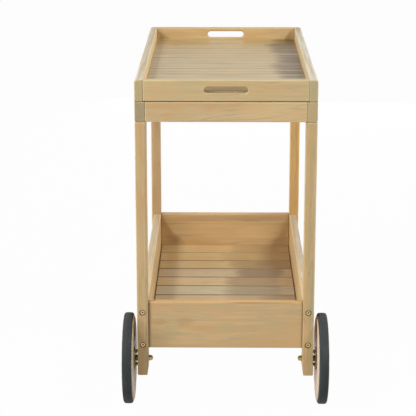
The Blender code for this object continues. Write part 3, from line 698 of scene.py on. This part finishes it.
def dress_shelf_slats(dice):
    for i in range(1, slat_count + 1):
        node = f"shelf_slat_{i:02d}"
        low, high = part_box(node)
        middle = (low + high) / 2
        mark = dark_mark(dice, middle, (0.07, 0.11), 0.015, (0.09, 0.12), (0.12, 0.16))
        far_end = (0.21, middle.y, middle.z), (0.15, 0.12, 0.04)
        dress(node, board(
            node, "X", low, high, seed=100 + i, pith=(dice.uniform(-0.03, 0.03), -0.05),
            base=tint(*shelf_tones[i - 1]), green=dice.uniform(0.1, 0.4),
            blush=dice.uniform(0.2, 0.5), tone=(1.01, 1.05, 1.06), fine=0.45, gloss=0.46,
            worn=0.2, dark_joints=shelf_gap_shades[i - 1], streaky=True, patches=(
                (*mark, shelf_hearts[i - 1], deep_heart if i == deep_heart_slat else heart),
                # Dark right end, partly painted shade
                (*far_end, shelf_far_ends[i - 1], shaded),
            ),
        ))


def dress_tray_slats(dice):
    """The tray's floor. A glue line along each board shows it as two narrow slats."""
    for i in range(1, slat_count + 1):
        node = f"tray_slat_{i:02d}"
        low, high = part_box(node)
        middle = (low + high) / 2
        mark = dark_mark(dice, middle, (0.2, 0.22), 0.02, (0.09, 0.12), (0.15, 0.2))
        looks = dict(
            streaks=0.55, gloss=0.4, seam=0.85, dark_joints=0.7,
            bloom=0.3 if i in far_tray_slats else 0.6, knots=tray_knots.get(i, ()),
            patches=(
                (*mark, dice.uniform(0.9, 1.0), dusky),
                # Painted shade of the left rail at the slat's left end
                ((-0.22, middle.y, middle.z), (0.07, 0.12, 0.03), 0.15, shaded),
            ),
        )
        if i == 1:
            # Only its strip behind the hand slot shows. Its dark base is painted shade of the
            # front panel, and that strip is painted light, as if lit through the slot
            slot_light_patch = (0.0, low.y, high.z), (0.08, 0.02, 0.01)
            looks.update(
                streaks=0.1, gloss=0.8, seam=0.3, dark_joints=0.2, bloom=0.0,
                patches=((*slot_light_patch, 1.0, painted_slot_light),),
            )
        dress(node, board(
            node, "X", low, high, seed=200 + i, pith=(dice.uniform(-0.03, 0.03), -0.05),
            base=tint(*tray_tones[i - 1]), light=tray_pale, green=dice.uniform(0.2, 0.5),
            blush=dice.uniform(0.1, 0.3), tone=(0.945, 0.925, 0.875), fine=0.4, worn=0.35,
            glue_line=0.0, streaky=True, **looks,
        ))


# Wheels
wheel_steps = 144
tyre_seat_radius = 0.109
tyre_shoulder = 0.0055
tyre_crown = 0.0004
tyre_edge = (0.0004, 0.0005)  # how far its inner edge is eased, along and across
mould_line_depth = 0.00018
mould_line_reach = 0.0006
rim_radius = 0.1105
rim_round = 0.0022
rim_outer_round = 0.0011
rim_outer_drop = 0.0008
rim_bead_width = 0.0062
rim_bead_depth = 0.0009
disc_bore = 0.0098

# Seed and lightness of the rubber and the wood of each wheel. The right wheel is painted
# lighter, a lit copy of the left
wheel_looks = {"left": ((5, 1.0), (3, 1.0)), "right": ((9, 1.18), (8, 1.36))}

# Hub, with its four bolts
hub_steps = 48
flange_radius = 0.031
flange_thickness = 0.0025
flange_round = 0.0007
sleeve_radius = 0.0095
bolt_circle = 0.024
bolt_turn = math.radians(28.5)
hub_bolt_radius = 0.0025
hub_bolt_pitch = 0.0008
hub_bolt_steps = 24
hub_nut_width = 0.008
hub_nut_height = 0.0038
hub_head_radius = 0.0048
hub_head_height = 0.0026
hub_head_seat = 0.0001
hub_thread_end = 0.0009
hub_head_arc = [math.radians(12 * i) for i in range(8)]
hub_nut_turns = [math.radians(17 + 23 * i) for i in range(4)]

# Axle
axle_radius = 0.004
axle_pitch = 0.00125
axle_thread_length = 0.016
axle_socket_width = 0.005
axle_socket_share = 0.7  # of the head's height
axle_head_radius = 0.007
axle_head_height = 0.0035
axle_head_curve = ((0.3, 0.97), (0.6, 0.87), (0.85, 0.72))
axle_head_flat = 0.55  # of the head's radius
nut_width = 0.013
nut_height = 0.0058
collar_radius = 0.006
collar_round = 0.001
washer_radius = 0.0085
washer_thickness = 0.0013

# Frame bolts
screw_radius = 0.003
screw_pitch = 0.001
screw_thread_length = 0.024
screw_steps = 96
head_radius = 0.0064
head_height = 0.0055
socket_width = 0.004
socket_depth = 0.003
head_recess = 0.0022
barrel_radius = 0.0048
barrel_slot_width = 0.0012
barrel_slot_depth = 0.0009
barrel_setback = 0.009  # of its middle from the screw's tip
knurl_ridges = 32
knurl_depth = 0.0003
left_lean = -0.14
lower_right_lean = 0.05

# What all the hardware shares
clearance = 0.0003
fine_edge = 0.0003
thin_edge = 0.0004
easing = 0.0005
soft_edge = 0.0006
taper = 0.0008  # of a screw's point
bevel_slope = math.tan(math.radians(30))
nut_face_share = 0.475
nut_sink_share = 0.12
mouth_share = 0.62  # a socket's mouth, of its width across flats
thread_depth_share = 0.55
rings_a_pitch = 4
crease = math.radians(32)  # from which angle on an edge looks sharp
half_turn = Matrix.Rotation(math.pi, 4, "Z")


def settled(value, angle):
    """A length in one direction, where it may vary with the direction."""
    return value(angle) if callable(value) else value


def turned(rings, steps, closed=False, side=1):
    """A solid of rings round the X axis, each a place along X and a radius.

    Either may be a function of the direction, which gives flats, bevels and threads. On the
    left side, -1, X runs the other way.
    """
    work = bmesh.new()
    loops = []
    for x, radius in rings:
        if radius == 0:
            loops.append([work.verts.new((x * side, 0, 0))])
            continue
        loop = []
        for i in range(steps):
            angle = math.tau * i / steps
            reach = settled(radius, angle)
            across = reach * math.cos(angle), reach * math.sin(angle)
            loop.append(work.verts.new((settled(x, angle) * side, *across)))
        loops.append(loop)
    pairs = list(zip(loops, loops[1:]))
    if closed:
        pairs.append((loops[-1], loops[0]))
    for near, far in pairs:
        for i in range(steps):
            j = (i + 1) % steps
            if len(near) == 1:
                work.faces.new((near[0], far[j], far[i]))
            elif len(far) == 1:
                work.faces.new((near[i], near[j], far[0]))
            else:
                work.faces.new((near[i], near[j], far[j], far[i]))
    bmesh.ops.recalc_face_normals(work, faces=work.faces)
    return mesh_of(work)


def gathered(parts):
    """One mesh of several, each laid in its own place."""
    work = bmesh.new()
    for mesh, place in parts:
        mesh.transform(place)
        work.from_mesh(mesh)
        bpy.data.meshes.remove(mesh)
    return mesh_of(work)


def rounded(middle, radius, first, last, steps=6):
    """Rings on part of a circle, for a rounded edge."""
    angles = [math.radians(first + (last - first) * i / steps) for i in range(steps + 1)]
    return [
        (middle[0] + radius * math.cos(a), middle[1] + radius * math.sin(a)) for a in angles
    ]


def hexagon(width):
    """How far a hexagon's side is from its middle, in each direction."""
    sixth = math.tau / 6

    def reach(angle):
        off = (angle + sixth / 2) % sixth - sixth / 2
        return width / 2 / math.cos(off)
    return reach


def nut_rings(first, last, width, bore):
    """A hexagon nut, its corners turned off at both faces and its bore countersunk."""
    side = hexagon(width)
    face = width * nut_face_share
    sunk = bore * nut_sink_share
    return [
        (first + sunk, bore), (first, bore + sunk), (first, face),
        (lambda angle: first + (side(angle) - face) * bevel_slope, side),
        (lambda angle: last - (side(angle) - face) * bevel_slope, side),
        (last, face), (last, bore + sunk), (last - sunk, bore),
    ]


def thread_rings(first, last, radius, pitch):
    """Rings of a screw thread, whose ridge climbs one pitch in a turn."""
    depth = pitch * thread_depth_share
    count = round(abs(last - first) / pitch * rings_a_pitch)

    def ridge(x):
        return lambda angle: radius - depth * abs(2 * ((x / pitch - angle / math.tau) % 1) - 1)
    places = [first + (last - first) * i / count for i in range(count + 1)]
    return [(x, ridge(x)) for x in places]


def tyre_mesh(width, radius):
    """Solid rubber with rounded shoulders, a slight crown and the line of its mould."""
    half = width / 2
    shoulder = radius - tyre_crown - tyre_shoulder
    flat = half - tyre_shoulder
    along, across = tyre_edge
    return turned(
        [
            (half - along, tyre_seat_radius), (half, tyre_seat_radius + across),
            *rounded((flat, shoulder), tyre_shoulder, 0, 84),
            (mould_line_reach, radius - mould_line_depth), (0, radius),
            (-mould_line_reach, radius - mould_line_depth),
            *rounded((-flat, shoulder), tyre_shoulder, 96, 180),
            (-half, tyre_seat_radius + across), (along - half, tyre_seat_radius),
        ],
        wheel_steps, closed=True,
    )


def disc_mesh(inner, outer, tyre_half, side):
    """The wooden wheel: a rim that laps the tyre on the leg's side, and a faced middle."""
    groove = tyre_seat_radius - clearance
    half = tyre_half + clearance
    lip = rim_radius - rim_round
    bead = rim_radius - rim_bead_width
    rings = [
        (inner + soft_edge, disc_bore), (inner + rim_bead_depth, disc_bore + soft_edge),
        (inner + rim_bead_depth, bead - soft_edge), (inner + rim_bead_depth * 0.5, bead),
        (inner, bead + soft_edge), *rounded((inner + rim_round, lip), rim_round, 180, 90),
        (-half, rim_radius), (-half, groove), (half, groove),
        (half, rim_radius - rim_outer_drop),
        *rounded((outer - rim_outer_round, lip), rim_outer_round, 80, 0, 4),
        (outer, bead + soft_edge), (outer - rim_bead_depth * 0.5, bead),
        (outer - rim_bead_depth, bead - soft_edge),
        (outer - rim_bead_depth, disc_bore + soft_edge), (outer - soft_edge, disc_bore),
    ]
    return turned(rings, wheel_steps, True, side)


def hub_mesh(inner, outer, side):
    """Sleeve and flanges round the axle, with four bolts through the wheel and their nuts."""
    first, last = inner - flange_thickness, outer + flange_thickness
    bore = axle_radius + clearance
    rim = flange_radius - flange_round
    body = [
        (first + easing, bore), (first, bore + easing), (first, rim),
        *rounded((first + flange_round, rim), flange_round, 170, 90, 3),
        (inner, flange_radius), (inner, sleeve_radius), (outer, sleeve_radius),
        (outer, flange_radius), *rounded((last - flange_round, rim), flange_round, 90, 10, 3),
        (last, rim), (last, bore + easing), (last - easing, bore),
    ]
    nut_face = first - hub_nut_height
    end = nut_face - hub_thread_end
    dome = [
        (last + hub_head_height * math.sin(a), hub_head_radius * math.cos(a))
        for a in hub_head_arc
    ]
    bolt = [
        (end, 0), (end, hub_bolt_radius - easing - fine_edge),
        *thread_rings(end + fine_edge, inner, hub_bolt_radius, hub_bolt_pitch),
        (outer, hub_bolt_radius), (last - hub_head_seat, hub_bolt_radius), *dome,
        (last + hub_head_height, 0),
    ]
    parts = [(turned(body, hub_steps, True, side), Matrix())]
    for i, nut_turn in enumerate(hub_nut_turns):
        turn = bolt_turn + i * math.tau / len(hub_nut_turns)
        spot = Matrix.Translation((0, bolt_circle * math.cos(turn), bolt_circle * math.sin(turn)))
        tilt = Matrix.Rotation(nut_turn, 4, "X")
        parts.append((turned(bolt, hub_bolt_steps, False, side), spot))
        nut = nut_rings(nut_face, first, hub_nut_width, hub_bolt_radius)
        parts.append((laid(nut, side, hub_steps, closed=True), spot @ tilt))
    return gathered(parts)


def laid(rings, side, steps, closed=False):
    """Turned rings that may vary with the direction, for either side of the cart."""
    made = turned(rings, steps, closed)
    if side < 0:
        made.transform(half_turn)
    return made


def axle_bolt_rings(end, head, last):
    """A button-head bolt: threaded end inside the leg, plain shank, socket in its head."""
    height = last - head
    socket = hexagon(axle_socket_width)
    floor = last - height * axle_socket_share
    thread_end = end + axle_thread_length
    return [
        (end, 0), (end, axle_radius - taper),
        *thread_rings(end + thin_edge, thread_end, axle_radius, axle_pitch),
        (thread_end + taper, axle_radius), (head, axle_radius),
        (head, axle_head_radius - fine_edge), (head + fine_edge, axle_head_radius),
        *[(head + height * rise, axle_head_radius * share) for rise, share in axle_head_curve],
        (last, axle_head_radius * axle_head_flat), (last, axle_socket_width * mouth_share),
        (last - fine_edge, socket), (floor, socket), (floor - soft_edge, 0),
    ]


def axle_nut_parts(collar_end, washer_end):
    """A lock nut with a turned collar, on a washer with an eased rim."""
    washer_face = washer_end - washer_thickness
    nut_face = washer_face - nut_height
    bore = axle_radius
    burr = 0.0002
    nut = nut_rings(nut_face, washer_face, nut_width, bore)
    collar = [
        (nut_face, bore), (collar_end + thin_edge, bore), (collar_end, bore + thin_edge),
        (collar_end, collar_radius - collar_round - burr),
        *rounded((collar_end + collar_round, collar_radius - collar_round), collar_round,
                 170, 90, 4),
        (nut_face, collar_radius),
    ]
    washer = [
        (washer_face, bore), (washer_face, washer_radius - fine_edge),
        (washer_face + fine_edge, washer_radius), (washer_end - burr, washer_radius),
        (washer_end, washer_radius - burr), (washer_end, bore),
    ]
    return nut, collar, washer


def frame_bolt_mesh(tip):
    """A knurled socket-head screw, from the leg's face inwards."""
    top = head_recess
    under = top + head_height
    socket = hexagon(socket_width)
    rim = head_radius - knurl_depth
    rim_ease, knurl_ease = 0.0007, 0.0009
    thread_start = tip - screw_thread_length

    def knurl(angle):
        wave = 0.5 + 0.5 * math.cos(knurl_ridges * angle)
        return head_radius - knurl_depth * wave
    return turned(
        [
            (top + socket_depth + soft_edge, 0), (top + socket_depth, socket),
            (top + fine_edge, socket), (top, socket_width * mouth_share),
            (top, head_radius - knurl_ease), (top + thin_edge, head_radius - thin_edge),
            (top + rim_ease, rim), (top + knurl_ease, knurl), (under - knurl_ease, knurl),
            (under - rim_ease, rim), (under, rim - fine_edge), (under, screw_radius),
            (thread_start, screw_radius),
            *thread_rings(thread_start + easing, tip - easing, screw_radius, screw_pitch),
            (tip, screw_radius - taper), (tip, 0),
        ],
        screw_steps,
    )


def barrel_nut_mesh(length):
    """A round cross nut with a slot in its end, which points along -X."""
    mesh = turned(
        [
            (0, 0), (0, barrel_radius - easing), (easing, barrel_radius),
            (length - easing, barrel_radius), (length, barrel_radius - easing), (length, 0),
        ],
        hub_steps,
    )
    work = bmesh.new()
    bmesh.ops.create_cube(work, size=1)
    bmesh.ops.scale(
        work, verts=work.verts,
        vec=(2 * barrel_slot_depth, barrel_slot_width, 3 * barrel_radius),
    )
    blank = placed("blank", mesh)
    cutter = placed("cutter", mesh_of(work, "slot"))
    step = blank.modifiers.new("slot", "BOOLEAN")
    step.operation = "DIFFERENCE"
    step.object = cutter
    bpy.context.view_layer.update()
    made = bpy.data.meshes.new_from_object(
        blank.evaluated_get(bpy.context.evaluated_depsgraph_get())
    )
    for thing in (blank, cutter):
        bpy.data.objects.remove(thing, do_unlink=True)
    return made


def fitted(name, mesh, place, material, node, body):
    """Puts a detailed piece where a packed one is, on the same body."""
    mesh.transform(place)
    mesh.shade_smooth()
    mesh.set_sharp_from_angle(angle=crease)
    mesh.materials.clear()
    mesh.materials.append(material)
    piece = placed(name, mesh)
    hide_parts(node)
    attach(piece, body)


def make_wheels():
    for side, name in ((-1, "left"), (1, "right")):
        rubber_look, wood_look = wheel_looks[name]
        low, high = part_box(name + "_tyre")
        middle = (low + high) / 2
        place = Matrix.Translation(middle)
        wheel = name + "_wheel"
        half = (high.x - low.x) / 2
        fitted(
            name + "_rubber_tyre", tyre_mesh(high.x - low.x, (high.z - low.z) / 2), place,
            rubber(name, middle, *rubber_look), name + "_tyre", wheel,
        )
        inner, outer = sorted(side * (end.x - middle.x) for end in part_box(name + "_wheel_disc"))
        fitted(
            name + "_turned_disc", disc_mesh(inner, outer, half, side), place,
            turned_wood(name, middle, *wood_look), name + "_wheel_disc", wheel,
        )
        fitted(
            name + "_bolted_hub", hub_mesh(inner - clearance, outer + clearance, side), place,
            zinc(name + "_hub", 4, dark=0.68, rough=0.26), name + "_hub", wheel,
        )
        make_axle(side, name, middle)


def make_axle(side, name, middle):
    """Bolt, lock nut and spacer, laid along the axle's own X from the cart's middle."""
    place = Matrix.Translation((0, middle.y, middle.z))

    def reach(node):
        return sorted(side * end.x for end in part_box(node))

    first, last = reach(name + "_axle_bolt")
    screw = axle_bolt_rings(first, last - axle_head_height, last)
    fitted(
        name + "_axle_screw", laid(screw, side, hub_steps), place,
        zinc(name + "_axle_bolt", 2, dark=0.2), name + "_axle_bolt", "cart",
    )
    nut = [
        (laid(rings, side, hub_steps, closed=True), Matrix())
        for rings in axle_nut_parts(*reach(name + "_axle_nut"))
    ]
    fitted(
        name + "_lock_nut", gathered(nut), place, zinc(name + "_axle_nut", 1, dark=0.3),
        name + "_axle_nut", "cart",
    )
    low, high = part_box(name + "_axle_spacer")
    bore, outside = axle_radius + clearance, (high.z - low.z) / 2
    first, last = reach(name + "_axle_spacer")
    tube = [
        (first + soft_edge, bore), (first, bore + soft_edge), (first, outside - soft_edge),
        (first + soft_edge, outside), (last - soft_edge, outside), (last, outside - soft_edge),
        (last, bore + soft_edge), (last - soft_edge, bore),
    ]
    fitted(
        name + "_spacer_tube", laid(tube, side, hub_steps, closed=True), place,
        zinc(name + "_spacer", 6, dark=0.6, rough=0.45), name + "_axle_spacer", "cart",
    )


def make_frame_bolts():
    """Socket screws through the legs, each with its cross nut in the side board."""
    for node in sorted(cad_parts):
        if not node.startswith("frame_bolt"):
            continue
        low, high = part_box(node)
        end_name, end = ("front", -1) if "front" in node else ("rear", 1)
        side_name, side = ("left", -1) if "left" in node else ("right", 1)
        leg_low, leg_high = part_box(f"{end_name}_{side_name}_leg")
        height = (low.z + high.z) / 2
        face = leg_low.y if end < 0 else leg_high.y
        tip = abs((high.y if end < 0 else low.y) - face)
        middle = (leg_low.x + leg_high.x) / 2
        screw = frame_bolt_mesh(tip)
        screw.transform(Matrix.Rotation(-end * math.pi / 2, 4, "Z"))
        near, far = sorted((abs(low.x), abs(high.x)))
        barrel = barrel_nut_mesh(far - near)
        if side < 0:
            barrel.transform(half_turn)
        barrel_spot = (side * near - middle, -end * (tip - barrel_setback), 0)
        right_lean = lower_right_lean if "lower" in node else 0.0
        spot = Vector((middle, face, height))
        fitted(
            node + "_screw",
            gathered([(screw, Matrix()), (barrel, Matrix.Translation(barrel_spot))]),
            Matrix.Translation(spot),
            zinc(
                node, len(node) + ord(node[-1]), rough=0.32,
                lean=left_lean if side < 0 else right_lean, socket=(spot, -end),
            ),
            node, "cart",
        )


# Floor: half its side, its paper, and how much of it looks plain white
floor_reach = 30
floor_grey = tint(186, 185, 183)
floor_white = 0.975

# Light from all round, and how bright the ceiling is in what shines
even_light = 0.12
ceiling_light = 0.3
mirrored_dip = 0.45  # how much darker it is behind the camera

# Lamps: place, height of the aim, size, power, and whether they show in what shines
lamps = {
    "left_lamp": ((-2.4, -2.4, 3.9), 0.4, 0.9, 101, True),
    "right_lamp": ((2.2, -2.1, 3.3), 0.4, 1.0, 63, True),
    "low_left_lamp": ((-3.2, -2.4, 1.3), 0.4, 1.8, 50, True),
    "left_side_lamp": ((-3.4, 0.2, 1.5), 0.4, 1.8, 68, True),
    "right_side_lamp": ((3.4, 0.2, 1.5), 0.4, 1.8, 70, True),
    "back_lamp": ((0.3, 3.6, 0.9), 0.6, 1.8, 42, False),
}

# Camera, fitted to the photo: its lens in mm, and in degrees how far it looks down and left
camera_place = (-0.009, -4.1049, 1.5486)
camera_lens = 130.76
camera_down = 15.312
camera_left = 0.561


def make_floor():
    """A pale floor that keeps the cart's shadow and meets the white backdrop."""
    work = bmesh.new()
    bmesh.ops.create_grid(work, x_segments=8, y_segments=8, size=floor_reach)
    floor = placed("floor", mesh_of(work, "floor"))
    finish = Finish("floor_paper")
    finish.feed("Base Color", floor_grey)
    finish.feed("Roughness", 0.9)
    finish.feed("Specular IOR Level", 0.1)
    camera_ray, glossy_ray, clear_ray = finish.rays("Camera", "Glossy", "Transmission")
    seen = camera_ray.most(glossy_ray).most(clear_ray)
    under = finish.signal("ShaderNodeNewGeometry", output="Backfacing")
    glow = finish.signal("ShaderNodeEmission", {}, {"Color": (1, 1, 1, 1), "Strength": 1.0})
    clear = finish.signal("ShaderNodeBsdfTransparent")
    paper = Signal(finish, finish.shader.outputs[0])
    white = finish.signal("ShaderNodeMixShader", {}, {0: seen * floor_white, 1: paper, 2: glow})
    surface = finish.signal("ShaderNodeMixShader", {}, {0: under, 1: white, 2: clear})
    output = finish.tree.nodes["Material Output"]
    finish.tree.links.new(surface.socket, output.inputs["Surface"])
    floor.data.materials.append(finish.material)


def make_world():
    """White behind the cart, a dim ceiling in what shines, and an even light from all round."""
    world = bpy.data.worlds.new("studio")
    bpy.context.scene.world = world
    studio = Finish("studio", world)
    camera_ray, glossy_ray = studio.rays("Camera", "Glossy")
    _, forward, upward = studio.place("Generated")
    ceiling = upward.ramp(0.3, 0.85)
    behind_camera = (0.0 - forward).ramp(0.1, 0.8) * upward.ramp(-0.05, 0.2)
    mirrored = (1.0 - ceiling * (1.0 - ceiling_light)) * (1.0 - behind_camera * mirrored_dip)
    unseen = (1.0 - glossy_ray) * even_light + glossy_ray * mirrored
    studio.feed("Color", (1.0, 1.0, 1.0, 1.0))
    studio.feed("Strength", camera_ray + (1.0 - camera_ray) * unseen)


def make_lights():
    """Soft square lamps, which the camera doesn't see."""
    for name, (place, aim, size, power, mirrored) in lamps.items():
        light = bpy.data.lights.new(name, "AREA")
        light.shape = "SQUARE"
        light.size = size
        light.energy = power
        made = placed(name, light)
        made.visible_camera = False
        made.visible_glossy = mirrored
        made.location = place
        aimed = Vector((0, 0, aim)) - Vector(place)
        made.rotation_euler = aimed.to_track_quat("-Z", "Y").to_euler()


def make_camera():
    camera = bpy.data.cameras.new("camera")
    camera.sensor_width = 36.0
    camera.lens = camera_lens
    camera.clip_end = 100.0
    made = placed("camera", camera)
    made.location = camera_place
    made.rotation_euler = (math.radians(90 - camera_down), 0.0, math.radians(camera_left))
    bpy.context.scene.camera = made


bpy.context.scene.view_settings.view_transform = "Standard"
make_camera()
make_world()
make_lights()
make_floor()
dress_boards()
slat_dice = random.Random(7)
dress_shelf_slats(slat_dice)
dress_tray_slats(slat_dice)
make_wheels()
make_frame_bolts()
